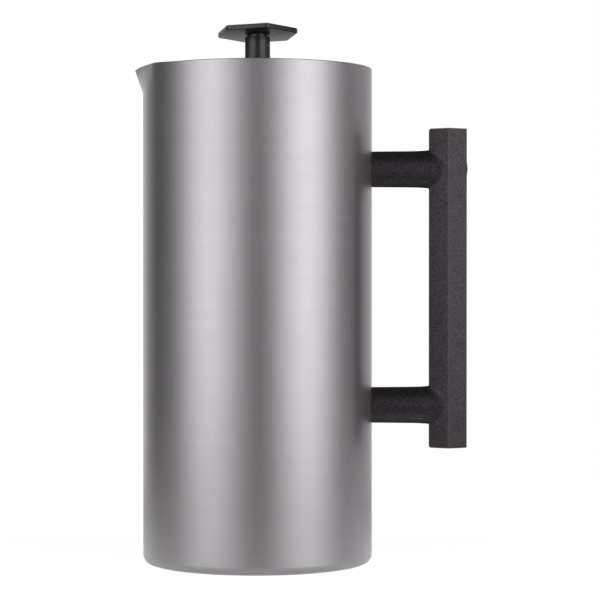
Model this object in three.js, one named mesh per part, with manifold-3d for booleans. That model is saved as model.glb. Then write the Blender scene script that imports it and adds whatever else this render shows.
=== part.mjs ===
// A double-walled steel french press: pot, side handle, turning lid and plunger with its filter.
// Millimetres, +Z up. The origin is the centre of the base, the handle is on +X and the spout on -X.
// The plunger is modelled pressed down, with its knob resting on the lid.
import * as THREE from 'three';
import { mergeVertices } from 'three/addons/utils/BufferGeometryUtils.js';
import Module from 'manifold-3d';

const wasm = await Module();
wasm.setup();

// ---------------------------------------------------------------- driving dimensions

// Every piece that seats on or in another one stops this far from it.
const fit = 0.3;

// Pot: a shell, an inner vessel that widens to meet it at the rim, and a pan that closes the base.
const potRadius = 54;
const potHeight = 232.7;
const shellWall = 1;
const vesselWall = 1;
const baseWall = 1;
const airSpace = 3.6;
const floorHeight = 8;
const vesselCorner = 6;
const flareHeight = 12;
const baseCorner = 5;
const seamAngle = 40;

// Spout: a V pressed out of the rim. Pressing it lifts the rim beside the V a little, out to
// spoutLiftAngle, and draws the V's tip down. The higher spoutDipPower is, the closer to the tip.
const spoutReach = 4.3;
const spoutHeight = 11.8;
const spoutHalfAngle = 28;
const spoutLift = 0.75;
const spoutLiftAngle = 52;
const spoutDip = 1.15;
const spoutDipPower = 5;

// Handle: a hexagonal grip on two round posts, with one flat facing the pot. The posts thicken
// steadily towards the grip, and by postFlare more over their last postFlareLength.
const gripDistance = 89.8;
const gripFlats = 17.5;
const gripLength = 150;
const gripBottom = 54.4;
const gripChamfer = 0.8;
const gripAngle = 30;
const postSpacing = 111.2;
const lowerPostHeight = 74.3;
const postRadiusAtPot = 8.4;
const postRadiusAtGrip = 8.7;
const postFlare = 0.4;
const postFlareLength = 9;

// Handle fixings: in each post, a screw runs from under a plug in the grip to a boss on the shell.
const bossRadius = 5;
const bossLength = 10;
const bossEndWall = 2;
const screwRadius = 2.5;
const screwTipSpace = 0.6;
const screwHeadRadius = 4.2;
const screwHeadHeight = 3.5;
const screwSocketRadius = 2.3;
const screwSocketDepth = 2;
const washerRadius = 5;
const washerThickness = 1;
const plugThickness = 2;
const plugChamfer = 0.3;
const upperPlugDome = 0.6;

// Lid: a steel cap over a moulded strainer, held together by a threaded bush and its nut.
const capRecess = 0.4;
const capWall = 1;
const capEdge = 2.6;
const capRounding = 0.6;
const strainerDepth = 16.6;
const strainerPlate = 1;
const strainerPlay = 0.6;
const strainerWall = 1;
const strainerBead = 1;
const sealGroove = 1.2;
const slotWidth = 2.2;
const slotPitch = 5;
const slotCount = 11;
const slotMargin = 1;
const bushRadius = 5.5;
const bushFlangeRadius = 8.5;
const bushFlangeHeight = 3.6;
const bushTail = 1;
const lidNutFlats = 17;
const lidNutHeight = 4;
const sealHeight = 5;
const sealLip = 1;
const sealWaist = 0.6;

// Knob: a hexagonal plate that leans a little on a short stem. Its raised side faces knobAngle when
// the knob is screwed home, with one of its corners cornerAngle from there.
const plateRadius = 19.8;
const plateThickness = 2.4;
const plateRounding = 0.5;
const plateLean = 4.5;
const cornerAngle = 9;
const knobAngle = -83;
const neckRadius = 4.8;
const neckHeight = 0.75;
const stemRadius = 5.95;
const stemBore = 4.5;
const stemLength = 11.55;
const stemChamfer = 0.3;
const insertLength = 6.2;
const insertRecess = 0.6;

// Plunger rod and filter pack, stacked from the nut upwards.
const rodRadius = 3;
const rodPlay = 0.4;
const rodTail = 1.2;
const filterClearance = 18;
const crossSetback = 3;
const crossThickness = 1.2;
const crossHubRadius = 14;
const crossRim = 7;
const windowCount = 8;
const windowAngle = 33;
const meshPlay = 0.4;
const meshThickness = 0.6;
const meshLip = 2.2;
const coilRadius = 2.8;
const springWireRadius = 0.45;
const springTurns = 42;
const spiralThickness = 1;
const spiralFlange = 3;
const holeRadius = 3.2;
const outerHoleInset = 9.2;
const outerHoles = 16;
const innerHoleOffset = 13;
const innerHoles = 8;
const collarRadius = 6;
const collarHeight = 6;
const filterNutFlats = 10;
const filterNutHeight = 4.5;

// ---------------------------------------------------------------- sizes that follow

const vesselOuterRadius = potRadius - shellWall - airSpace;
const vesselRadius = vesselOuterRadius - vesselWall;
const vesselFloor = floorHeight + vesselWall;
const flareBottom = potHeight - flareHeight;
const flareRise = airSpace - fit;
const flareRadius = (height) => vesselRadius + flareRise * (height - flareBottom) / flareHeight;

const gripInradius = gripFlats / 2;
const gripFace = gripDistance + gripInradius;
const postHeights = { upper: lowerPostHeight + postSpacing, lower: lowerPostHeight };
const bossEnd = potRadius + fit + bossLength;
const plugSeat = gripFace - plugThickness;
const screwHeadTop = plugSeat - fit;
const screwHeadSeat = screwHeadTop - screwHeadHeight;
const washerSeat = screwHeadSeat - fit - washerThickness;
const counterboreFloor = washerSeat - fit;

const capTop = potHeight - capRecess;
const capEdgeBottom = capTop - capEdge;
const capRadius = flareRadius(capEdgeBottom) - fit;
const strainerTop = capTop - capWall - fit;
const strainerBottom = strainerTop - strainerDepth;
const strainerRadius = vesselRadius - strainerPlay;
const grooveRadius = strainerRadius - sealGroove;
const grooveBottom = strainerBottom + strainerBead;
const grooveTop = grooveBottom + sealHeight + 2 * fit;
const bushBore = rodRadius + rodPlay;
const bushSeat = capTop + fit;
const bushTop = bushSeat + bushFlangeHeight;
const lidNutTop = strainerTop - strainerPlate - fit;
const lidNutBottom = lidNutTop - lidNutHeight;

const stemBottom = bushTop + fit;
const stemTop = stemBottom + stemLength;
const plateBottom = stemTop + neckHeight;
const spigotRadius = stemBore - fit;
const insertBottom = stemBottom + insertRecess;
const insertTop = insertBottom + insertLength;
const rodTop = insertTop + fit;
const spigotBottom = rodTop + fit;

const rodHole = rodRadius + fit;
const crossBottom = vesselFloor + filterClearance;
const meshBottom = crossBottom + crossThickness + fit;
const meshTop = meshBottom + meshThickness;
const meshRadius = vesselRadius - meshPlay;
const crossRadius = meshRadius - crossSetback;
const spiralBottom = meshTop + fit;
const collarBottom = spiralBottom + spiralThickness + fit;
const springRadius = meshRadius - meshThickness - fit - coilRadius;
const springHeight = meshTop + fit + coilRadius;
const spiralRadius = springRadius - coilRadius - fit;
const filterNutTop = crossBottom - fit;
const filterNutBottom = filterNutTop - filterNutHeight;
const rodBottom = filterNutBottom - rodTail;

// Facets round a full turn: on the pot, on the lid and filter, on the posts and the knob's stem, on
// small round pieces, in small holes, and in each turn of the spring.
const potSides = 60;
const lidSides = 48;
const postSides = 28;
const smallSides = 20;
const holeSides = 8;
const springSteps = 5;

// ---------------------------------------------------------------- shapes

const radians = THREE.MathUtils.degToRad;
const { inverseLerp, lerp, smoothstep } = THREE.MathUtils;

// Points on an arc, by angle in degrees, as [across, up] pairs.
function arc(across, up, radius, from, to, steps) {
  const points = [];
  for (let step = 0; step <= steps; step += 1) {
    const angle = radians(from + (to - from) * step / steps);
    points.push([across + radius * Math.cos(angle), up + radius * Math.sin(angle)]);
  }
  return points;
}

// A solid of revolution about Z. The profile is [radius, height] pairs, anticlockwise; it either
// starts and ends on the axis or is closed here.
function turned(profile, sides) {
  const points = profile.map(([radius, height]) => new THREE.Vector2(radius, height));
  if (points[0].x > 0) {
    points.push(points[0].clone());
  }
  return new THREE.LatheGeometry(points, sides).rotateX(Math.PI / 2);
}

// A ring or tube about Z.
function ring(inner, outer, bottom, top, sides = smallSides) {
  return turned([[outer, bottom], [outer, top], [inner, top], [inner, bottom]], sides);
}

// A plain round bar about Z.
function bar(radius, bottom, top, sides = smallSides) {
  return turned([[0, bottom], [radius, bottom], [radius, top], [0, top]], sides);
}

// A regular hexagon with its first corner at the given angle.
function hexagon(radius, firstCorner) {
  const corners = [0, 1, 2, 3, 4, 5].map((side) => {
    const angle = radians(firstCorner + 60 * side);
    return new THREE.Vector2(radius * Math.cos(angle), radius * Math.sin(angle));
  });
  return new THREE.Shape(corners);
}

const cornerRadius = (flats) => flats / Math.sqrt(3);

// A flat outline raised from bottom to top, with both edges chamfered inside its own size.
function raised(outline, bottom, top, chamfer = 0) {
  return new THREE.ExtrudeGeometry(outline, {
    depth: top - bottom - 2 * chamfer,
    bevelEnabled: chamfer > 0,
    bevelThickness: chamfer,
    bevelSize: chamfer,
    bevelOffset: -chamfer,
    bevelSegments: 1,
    curveSegments: smallSides,
  }).translate(0, 0, bottom + chamfer);
}

function hexNut(flats, bore, bottom, top) {
  const outline = hexagon(cornerRadius(flats), 0);
  outline.holes.push(new THREE.Path().absarc(0, 0, bore, 0, 2 * Math.PI, true));
  return raised(outline, bottom, top);
}

// Solids for cutting and joining, and back again.
function solid(geometry) {
  const bare = geometry.clone();
  bare.deleteAttribute('normal');
  bare.deleteAttribute('uv');
  const merged = mergeVertices(bare, 1e-4);
  const corners = merged.index.array;
  const kept = [];
  for (let first = 0; first < corners.length; first += 3) {
    const [a, b, c] = corners.slice(first, first + 3);
    if (a !== b && b !== c && c !== a) {
      kept.push(a, b, c);
    }
  }
  return new wasm.Manifold(new wasm.Mesh({
    numProp: 3,
    vertProperties: new Float32Array(merged.attributes.position.array),
    triVerts: new Uint32Array(kept),
  }));
}

function surface(body) {
  const { vertProperties, triVerts } = body.getMesh();
  const geometry = new THREE.BufferGeometry();
  geometry.setAttribute('position', new THREE.BufferAttribute(vertProperties, 3));
  geometry.setIndex(new THREE.BufferAttribute(triVerts, 1));
  return geometry;
}

function cut(geometry, tools) {
  const body = tools.reduce((left, tool) => left.subtract(solid(tool)), solid(geometry));
  return surface(body);
}

function joined(geometries) {
  return surface(geometries.map(solid).reduce((all, next) => all.add(next)));
}

// ---------------------------------------------------------------- pot

const spoutBottom = potHeight - spoutHeight;
const spoutRings = [0, 0.5, 1].map((share) => spoutBottom + share * spoutHeight);

// Presses the spout's V out of a round wall. At the rim the wall runs straight from the V's tip to
// where it leaves the circle, and lower down it does so less and less. share says how much of the
// push a point at a height follows.
function pressSpout(geometry, share) {
  const place = geometry.attributes.position;
  const width = radians(spoutHalfAngle);
  const tip = potRadius + spoutReach;
  for (let index = 0; index < place.count; index += 1) {
    const x = place.getX(index);
    const y = place.getY(index);
    const z = place.getZ(index);
    const rise = (z - spoutBottom) / spoutHeight;
    if (rise > 0) {
      const angle = Math.abs(Math.atan2(y, -x));
      const inside = Math.min(angle, width);
      const straight = Math.sin(width) * tip * potRadius
        / (potRadius * Math.sin(width - inside) + tip * Math.sin(inside));
      const radius = Math.hypot(x, y);
      const scale = (radius + share(z) * rise * (straight - potRadius)) / radius;
      const lift = spoutLift * (1 - smoothstep(angle, width, radians(spoutLiftAngle)));
      const dip = spoutDip * (1 - inside / width) ** spoutDipPower;
      place.setXYZ(index, x * scale, y * scale, z + rise * (lift - dip));
    }
  }
  return geometry;
}

function outerShell() {
  const inside = potRadius - shellWall;
  const across = potRadius - baseCorner;
  const outward = spoutRings.map((height) => [potRadius, height]);
  const inward = spoutRings.map((height) => [inside, height]).reverse();
  const profile = [
    ...arc(across, baseCorner, baseCorner, -seamAngle, 0, 2),
    ...outward,
    ...inward,
    ...arc(across, baseCorner, baseCorner - shellWall, 0, -seamAngle, 2),
  ];
  return pressSpout(turned(profile, potSides), () => 1);
}

function basePan() {
  const across = potRadius - baseCorner;
  const edgeAngle = seamAngle + THREE.MathUtils.radToDeg(fit / baseCorner);
  return turned([
    [0, 0],
    ...arc(across, baseCorner, baseCorner, -90, -edgeAngle, 2),
    ...arc(across, baseCorner, baseCorner - baseWall, -edgeAngle, -90, 2),
    [0, baseWall],
  ], potSides);
}

function innerVessel() {
  const corner = vesselCorner + vesselWall;
  const heights = [flareBottom, ...spoutRings];
  const outward = heights.map((height) => [flareRadius(height) + vesselWall, height]);
  const inward = heights.map((height) => [flareRadius(height), height]).reverse();
  const profile = [
    [0, floorHeight],
    ...arc(vesselOuterRadius - corner, floorHeight + corner, corner, -90, 0, 3),
    ...outward,
    ...inward,
    ...arc(vesselRadius - vesselCorner, vesselFloor + vesselCorner, vesselCorner, 0, -90, 3),
    [0, vesselFloor],
  ];
  const share = (height) => (height - flareBottom) / flareHeight;
  return pressSpout(turned(profile, potSides), share);
}

// ---------------------------------------------------------------- handle

// Lays a piece that was turned about Z along +X, at a post's height.
function alongPost(geometry, height) {
  return geometry.rotateY(Math.PI / 2).translate(0, 0, height);
}

function post(height) {
  const start = potRadius - shellWall;
  const flareEnd = gripDistance - gripInradius;
  const flareStart = flareEnd - postFlareLength;
  const radius = (along) => lerp(
    postRadiusAtPot,
    postRadiusAtGrip,
    inverseLerp(start, gripDistance, along),
  );
  const middle = (flareStart + flareEnd) / 2;
  return alongPost(turned([
    [0, start],
    [radius(start), start],
    [radius(flareStart), flareStart],
    [radius(middle) + postFlare / 4, middle],
    [radius(flareEnd) + postFlare, flareEnd],
    [radius(flareEnd) + postFlare, gripDistance],
    [0, gripDistance],
  ], postSides), height);
}

function handle() {
  const heights = Object.values(postHeights);
  const outline = hexagon(cornerRadius(gripFlats), gripAngle);
  const grip = raised(outline, gripBottom, gripBottom + gripLength, gripChamfer)
    .translate(gripDistance, 0, 0);
  const body = joined([grip, ...heights.map(post)]);
  const pot = bar(potRadius + fit, 0, potHeight, potSides);
  const bores = heights.flatMap((height) => [
    alongPost(bar(bossRadius + fit, 0, bossEnd + fit), height),
    alongPost(bar(screwRadius + fit, bossEnd, counterboreFloor + fit), height),
    alongPost(bar(washerRadius + fit, counterboreFloor, gripFace + fit), height),
  ]);
  return cut(body, [pot, ...bores]);
}

function handleBoss() {
  return turned([
    [0, potRadius + fit],
    [bossRadius, potRadius + fit],
    [bossRadius, bossEnd],
    [screwRadius + fit, bossEnd],
    [screwRadius + fit, potRadius + fit + bossEndWall],
    [0, potRadius + fit + bossEndWall],
  ], smallSides);
}

function handleScrew() {
  const tip = potRadius + fit + bossEndWall + screwTipSpace;
  const body = turned([
    [0, tip],
    [screwRadius, tip],
    [screwRadius, screwHeadSeat],
    [screwHeadRadius, screwHeadSeat],
    [screwHeadRadius, screwHeadTop],
    [0, screwHeadTop],
  ], smallSides);
  const socket = raised(hexagon(screwSocketRadius, 0), screwHeadTop - screwSocketDepth, gripFace);
  return cut(body, [socket]);
}

function handleWasher() {
  return ring(screwRadius + fit, washerRadius, washerSeat, washerSeat + washerThickness);
}

// The plug's edge is level with the grip's face, and its middle stands up from it by dome.
function handlePlug(dome) {
  const edge = washerRadius - plugChamfer;
  return turned([
    [0, plugSeat],
    [washerRadius, plugSeat],
    [washerRadius, gripFace - plugChamfer],
    [edge, gripFace],
    [edge / 2, gripFace + dome * 3 / 4],
    [0, gripFace + dome],
  ], smallSides);
}

// ---------------------------------------------------------------- lid

function lidCap() {
  const bore = bushRadius + fit;
  const inside = capRadius - capWall;
  return turned([
    [capRadius, capEdgeBottom],
    [capRadius, capTop - capRounding],
    [capRadius - capRounding, capTop],
    [bore, capTop],
    [bore, capTop - capWall],
    [inside, capTop - capWall],
    [inside, capEdgeBottom],
  ], lidSides);
}

function lidStrainer() {
  const bore = bushRadius + fit;
  const inside = grooveRadius - strainerWall;
  const underPlate = strainerTop - strainerPlate;
  const body = turned([
    [strainerRadius, strainerBottom],
    [strainerRadius, grooveBottom],
    [grooveRadius, grooveBottom],
    [grooveRadius, grooveTop],
    [strainerRadius, grooveTop],
    [strainerRadius, strainerTop],
    [bore, strainerTop],
    [bore, underPlate],
    [inside, underPlate],
    [inside, strainerBottom],
  ], lidSides);
  const slotBottom = grooveTop + slotMargin;
  const slotTop = underPlate - slotMargin;
  const slotReach = strainerRadius - inside + 2 * slotMargin;
  const slots = Array.from({ length: slotCount }, (_, index) => {
    const angle = radians(slotPitch * (index - (slotCount - 1) / 2));
    return new THREE.BoxGeometry(slotReach, slotWidth, slotTop - slotBottom)
      .translate(-(strainerRadius + inside) / 2, 0, (slotBottom + slotTop) / 2)
      .rotateZ(angle);
  });
  return cut(body, slots);
}

function lidBush() {
  return turned([
    [bushBore, lidNutBottom - bushTail],
    [bushRadius, lidNutBottom - bushTail],
    [bushRadius, bushSeat],
    [bushFlangeRadius, bushSeat],
    [bushFlangeRadius, bushTop - capRounding],
    [bushFlangeRadius - capRounding, bushTop],
    [bushBore, bushTop],
  ], smallSides);
}

function lidNut() {
  return hexNut(lidNutFlats, bushRadius + fit, lidNutBottom, lidNutTop);
}

function lidSeal() {
  const outer = vesselRadius - fit;
  const waist = outer - sealWaist;
  const bottom = grooveBottom + fit;
  const top = bottom + sealHeight;
  return turned([
    [outer, bottom],
    [outer, bottom + sealLip],
    [waist, bottom + sealLip + sealWaist],
    [waist, top - sealLip - sealWaist],
    [outer, top - sealLip],
    [outer, top],
    [grooveRadius + fit, top],
    [grooveRadius + fit, bottom],
  ], lidSides);
}

// ---------------------------------------------------------------- plunger

function knobPlate() {
  const plate = raised(hexagon(plateRadius, cornerAngle), 0, plateThickness, plateRounding)
    .rotateY(-radians(plateLean))
    .rotateZ(radians(knobAngle))
    .translate(0, 0, plateBottom);
  const neck = bar(neckRadius, stemTop + fit, plateBottom + plateThickness / 2);
  return joined([plate, neck, bar(spigotRadius, spigotBottom, plateBottom)]);
}

function knobStem() {
  return turned([
    [stemRadius, stemBottom],
    [stemRadius, stemTop - stemChamfer],
    [stemRadius - stemChamfer, stemTop],
    [stemBore, stemTop],
    [stemBore, stemBottom],
  ], postSides);
}

function knobInsert() {
  return ring(rodHole, stemBore - fit, insertBottom, insertTop);
}

function plungerRod() {
  return bar(rodRadius, rodBottom, rodTop);
}

function rodCollar() {
  return ring(rodHole, collarRadius, collarBottom, collarBottom + collarHeight);
}

function spiralPlate() {
  const top = spiralBottom + spiralThickness;
  const dish = turned([
    [spiralRadius, spiralBottom],
    [spiralRadius, top + spiralFlange],
    [spiralRadius - spiralThickness, top + spiralFlange],
    [spiralRadius - spiralThickness, top],
    [rodHole, top],
    [rodHole, spiralBottom],
  ], lidSides);
  const holeRing = (radius, count) => Array.from({ length: count }, (_, index) => (
    bar(holeRadius, spiralBottom - fit, top + fit, holeSides)
      .translate(radius, 0, 0)
      .rotateZ(2 * Math.PI * index / count)
  ));
  return cut(dish, [
    ...holeRing(spiralRadius - outerHoleInset, outerHoles),
    ...holeRing(collarRadius + innerHoleOffset, innerHoles),
  ]);
}

// A closed ring spring: a fine coil bent into a circle that grips the filter's edge.
class RingSpring extends THREE.Curve {
  getPoint(share, target = new THREE.Vector3()) {
    const round = 2 * Math.PI * share;
    const turn = round * springTurns;
    const coil = coilRadius - springWireRadius;
    const radius = springRadius + coil * Math.cos(turn);
    return target.set(
      radius * Math.cos(round),
      radius * Math.sin(round),
      springHeight + coil * Math.sin(turn),
    );
  }
}

function filterSpring() {
  return new THREE.TubeGeometry(new RingSpring(), springTurns * springSteps, springWireRadius, 4, true);
}

function filterMesh() {
  return turned([
    [rodHole, meshBottom],
    [meshRadius, meshBottom],
    [meshRadius, meshTop + meshLip],
    [meshRadius - meshThickness, meshTop + meshLip],
    [meshRadius - meshThickness, meshTop],
    [rodHole, meshTop],
  ], lidSides);
}

function crossPlate() {
  const top = crossBottom + crossThickness;
  const disc = ring(rodHole, crossRadius, crossBottom, top, lidSides);
  const windows = Array.from({ length: windowCount }, (_, index) => {
    const middle = 360 * index / windowCount;
    const from = middle - windowAngle / 2;
    const to = middle + windowAngle / 2;
    const corners = [
      ...arc(0, 0, crossHubRadius, to, from, 2),
      ...arc(0, 0, crossRadius - crossRim, from, to, 4),
    ];
    const outline = new THREE.Shape(corners.map(([x, y]) => new THREE.Vector2(x, y)));
    return raised(outline, crossBottom - fit, top + fit);
  });
  return cut(disc, windows);
}

function filterNut() {
  return hexNut(filterNutFlats, rodHole, filterNutBottom, filterNutTop);
}

// ---------------------------------------------------------------- assembly

const finishes = {
  brushedSteel: { color: 0xb9b6b8, roughness: 0.38, metalness: 1 },
  brightSteel: { color: 0xc9c8ca, roughness: 0.2, metalness: 1 },
  darkSteel: { color: 0x5a5a5c, roughness: 0.45, metalness: 1 },
  brass: { color: 0xb8934a, roughness: 0.35, metalness: 1 },
  grainedBlack: { color: 0x26262a, roughness: 0.6, metalness: 0 },
  satinBlack: { color: 0x1d1d20, roughness: 0.4, metalness: 0 },
  silicone: { color: 0x3a3a3c, roughness: 0.7, metalness: 0 },
};

function piece(name, geometry, finish) {
  const mesh = new THREE.Mesh(geometry, new THREE.MeshStandardMaterial(finishes[finish]));
  mesh.name = name;
  return mesh;
}

function pieces(...list) {
  const group = new THREE.Group();
  group.add(...list);
  return group;
}

const pot = pieces(
  piece('outer_shell', outerShell(), 'brushedSteel'),
  piece('inner_vessel', innerVessel(), 'brushedSteel'),
  piece('base_plate', basePan(), 'brushedSteel'),
  piece('handle', handle(), 'grainedBlack'),
);

for (const [name, height] of Object.entries(postHeights)) {
  const dome = name === 'upper' ? upperPlugDome : 0;
  const fixings = pieces(
    piece(`handle_boss_${name}`, handleBoss(), 'darkSteel'),
    piece(`handle_screw_${name}`, handleScrew(), 'brightSteel'),
    piece(`handle_washer_${name}`, handleWasher(), 'brightSteel'),
    piece(`handle_plug_${name}`, handlePlug(dome), 'grainedBlack'),
  );
  fixings.rotation.y = Math.PI / 2;
  fixings.position.z = height;
  pot.add(fixings);
}

const lid = pieces(
  piece('lid_cap', lidCap(), 'brushedSteel'),
  piece('lid_strainer', lidStrainer(), 'satinBlack'),
  piece('lid_bush', lidBush(), 'satinBlack'),
  piece('lid_nut', lidNut(), 'brightSteel'),
  piece('lid_seal', lidSeal(), 'silicone'),
);

const plunger = pieces(
  piece('knob_plate', knobPlate(), 'satinBlack'),
  piece('knob_stem', knobStem(), 'satinBlack'),
  piece('knob_insert', knobInsert(), 'brass'),
  piece('plunger_rod', plungerRod(), 'brightSteel'),
  piece('rod_collar', rodCollar(), 'brightSteel'),
  piece('spiral_plate', spiralPlate(), 'brightSteel'),
  piece('filter_spring', filterSpring(), 'brightSteel'),
  piece('filter_mesh', filterMesh(), 'darkSteel'),
  piece('cross_plate', crossPlate(), 'brightSteel'),
  piece('filter_nut', filterNut(), 'brightSteel'),
);

export default pieces(pot, lid, plunger);
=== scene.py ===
from math import cos, pi, radians, sin, sqrt, tan

import bmesh
import bpy
import numpy as np
from mathutils import Matrix, Vector


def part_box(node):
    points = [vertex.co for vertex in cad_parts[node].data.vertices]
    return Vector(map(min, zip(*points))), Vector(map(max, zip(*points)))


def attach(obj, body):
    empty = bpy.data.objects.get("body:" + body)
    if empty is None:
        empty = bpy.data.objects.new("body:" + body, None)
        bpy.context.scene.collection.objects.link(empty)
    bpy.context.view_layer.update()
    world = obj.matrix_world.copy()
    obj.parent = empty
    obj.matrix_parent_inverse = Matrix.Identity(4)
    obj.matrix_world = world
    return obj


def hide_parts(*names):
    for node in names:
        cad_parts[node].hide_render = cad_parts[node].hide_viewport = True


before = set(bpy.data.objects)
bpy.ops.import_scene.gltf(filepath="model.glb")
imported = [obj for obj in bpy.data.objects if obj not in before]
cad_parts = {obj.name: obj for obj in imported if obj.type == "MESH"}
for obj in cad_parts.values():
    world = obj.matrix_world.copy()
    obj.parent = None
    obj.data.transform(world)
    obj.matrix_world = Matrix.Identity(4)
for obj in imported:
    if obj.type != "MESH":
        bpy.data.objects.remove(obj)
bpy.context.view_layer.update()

MM = 0.001

# ------------------------------------- sizes: lengths in metres, bare angles in degrees

POT_SIDES = 360
SMALL_SIDES = 96
HOLE_SIDES = 40
SHARP = radians(38)

WALL = 1.0 * MM
SEAM = 0.05 * MM

# Pot.
POT_HEIGHT = 232.7 * MM
BASE_CORNER = 4.0 * MM
SEAM_ANGLE = 40
SEAM_GAP_ANGLE = 1.6
BASE_RECESS = 0.4 * MM
FOOT_RING = 6 * MM
RIM_WALL = 1.25 * WALL
RIM_ROUNDING = 0.4 * MM
FLARE_HEIGHT = 12 * MM
AIR_SPACE = 3.6 * MM
VESSEL_CORNER = 6 * MM

# Spout.
SPOUT_HEIGHT = 11.8 * MM
SPOUT_HALF_ANGLE = radians(28)
SPOUT_LIFT = 0.72 * MM
SPOUT_LIFT_ANGLE = radians(52)
SPOUT_DIP = 1.15 * MM
SPOUT_DIP_POWER = 5
SPOUT_SOFTNESS = radians(1.2)
SPOUT_SAMPLES = 9
SPOUT_ROWS = 22
FINE_HALF_ANGLE = 36
FINE_STEP = 0.4
COARSE_STEP = 2.0

# Handle.
SIDES = ("upper", "lower")
GRIP_FLATS = 17.5 * MM
GRIP_EDGE = 0.2 * MM
GRIP_END = 0.8 * MM
GRIP_LENGTH = 150 * MM
POST_AT_POT = 8.4 * MM
POST_AT_GRIP = 8.7 * MM
POST_FLARE = 0.4 * MM
POST_FLARE_LENGTH = 11 * MM
POST_BLEND = 1.5 * MM
POST_SMOOTHING = 220
JOIN_SMOOTHING = 3
SMOOTHING_STEP = 0.5
POT_GAP = 0.05 * MM
HANDLE_VOXEL = 0.3 * MM
SCREW_BORE = 2.8 * MM
FIXING_GAP = 0.1 * MM
PLUG_DOME = 0.6 * MM
PLUG_ROUNDING = 0.35 * MM

# Knob.
PLATE_RADIUS = 19.8 * MM
PLATE_THICKNESS = 2.4 * MM
PLATE_LEAN = radians(4.5)
PLATE_CORNER = 1.3 * MM
PLATE_EDGE = 0.5 * MM
CORNER_ANGLE = 9
KNOB_ANGLE = radians(-83)
NECK_RADIUS = 4.8 * MM
NECK_HEIGHT = 0.75 * MM
SPIGOT_RADIUS = 4.2 * MM
STEM_BORE = 4.4 * MM

# Lid.
CAP_SHELF = 5 * MM
CAP_STEP = 0.4 * MM
CAP_RAMP = 1.2 * MM
CAP_COLLAR = 1.3 * MM
BUSH_BORE = 5.6 * MM
BUSH_BARREL = 5.5 * MM
BUSH_ROD_BORE = 3.2 * MM
SEAL_WAIST = 0.6 * MM
SEAL_LIP = 1.2 * MM
SEAL_RAMP = 0.5 * MM
SEAL_GROOVE = 1.2 * MM
GROOVE_HEIGHT = 5.6 * MM
SLOT_WIDTH = 2.2 * MM
SLOT_REACH = 3 * MM
SLOT_COUNT = 11
SLOT_PITCH = radians(5)

# Rod and filter.
ROD_BORE = 3.15 * MM
ROD_END = 0.5 * MM
COLLAR_FLANGE = 2.2 * MM
COLLAR_STEP = 0.5 * MM
THREAD_PITCH = 0.8 * MM
THREAD_DEPTH = 0.4 * MM
THREAD_LENGTH = 7 * MM
MESH_WALL = 0.6 * MM
HOLE_RADIUS = 3.2 * MM
OUTER_HOLES = 16
OUTER_HOLE_INSET = 9.2 * MM
INNER_HOLES = 8
INNER_HOLE_CIRCLE = 19 * MM
WINDOWS = 8
WINDOW_ANGLE = 33
WINDOW_INNER = 14 * MM
WINDOW_RIM = 7 * MM
WINDOW_ROUNDING = 2 * MM
WINDOW_STEPS = 12
COIL_RADIUS = 2.8 * MM
SPRING_WIRE = 0.3 * MM
SPRING_TURNS = 150
SPRING_STEPS = 20
WIRE_SIDES = 8


# ---------------------------------------------------------------- mesh helpers

def link(name, mesh):
    """An object for a mesh, shaded smooth with its real edges kept sharp."""
    mesh.polygons.foreach_set("use_smooth", [True] * len(mesh.polygons))
    mesh.set_sharp_from_angle(angle=SHARP)
    obj = bpy.data.objects.new(name, mesh)
    bpy.context.scene.collection.objects.link(obj)
    return obj


def from_bmesh(name, bm):
    """An object for a bmesh, with its faces turned outwards; frees the bmesh."""
    bmesh.ops.recalc_face_normals(bm, faces=bm.faces)
    mesh = bpy.data.meshes.new(name)
    bm.to_mesh(mesh)
    bm.free()
    return link(name, mesh)


def from_rings(name, rings, closed=True):
    """A skin over rows of points, each row a ring; the last row meets the first where closed."""
    rows, columns = rings.shape[:2]
    faces = []
    for row in range(rows if closed else rows - 1):
        following = (row + 1) % rows
        for column in range(columns):
            beside = (column + 1) % columns
            faces.append((row * columns + column, row * columns + beside,
                          following * columns + beside, following * columns + column))
    mesh = bpy.data.meshes.new(name)
    mesh.from_pydata(rings.reshape(-1, 3).tolist(), [], faces)
    bm = bmesh.new()
    bm.from_mesh(mesh)
    bpy.data.meshes.remove(mesh)
    bmesh.ops.remove_doubles(bm, verts=bm.verts, dist=1e-7)
    return from_bmesh(name, bm)


def rounded(corners, steps=5):
    """An outline through (radius, height, rounding) corners, with an arc at each rounded one."""
    points = []
    count = len(corners)
    for index, (x, z, rounding) in enumerate(corners):
        here = Vector((x, z))
        if rounding == 0:
            points.append((x, z))
            continue
        before = Vector(corners[index - 1][:2]) - here
        after = Vector(corners[(index + 1) % count][:2]) - here
        half = before.angle(after) / 2
        reach = rounding / tan(half)
        start = here + before.normalized() * reach
        middle = (before.normalized() + after.normalized()).normalized()
        centre = here + middle * (rounding / sin(half))
        end = here + after.normalized() * reach
        a, b = start - centre, end - centre
        sweep = a.angle_signed(b)
        for step in range(steps + 1):
            turn = Matrix.Rotation(-sweep * step / steps, 2)
            point = centre + turn @ a
            points.append((point.x, point.y))
    return points


def arc(x, z, radius, start, end, steps):
    """Points on an arc, by angle in degrees, as (radius, height) pairs."""
    turns = [radians(start + (end - start) * step / steps) for step in range(steps + 1)]
    return [(x + radius * cos(turn), z + radius * sin(turn)) for turn in turns]


def even_turns(sides):
    """Evenly spaced angles, one for each side."""
    return np.arange(sides) * 2 * pi / sides


def smooth(share):
    """Eases 0..1 in and out."""
    share = np.clip(share, 0, 1)
    return share * share * (3 - 2 * share)


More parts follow.
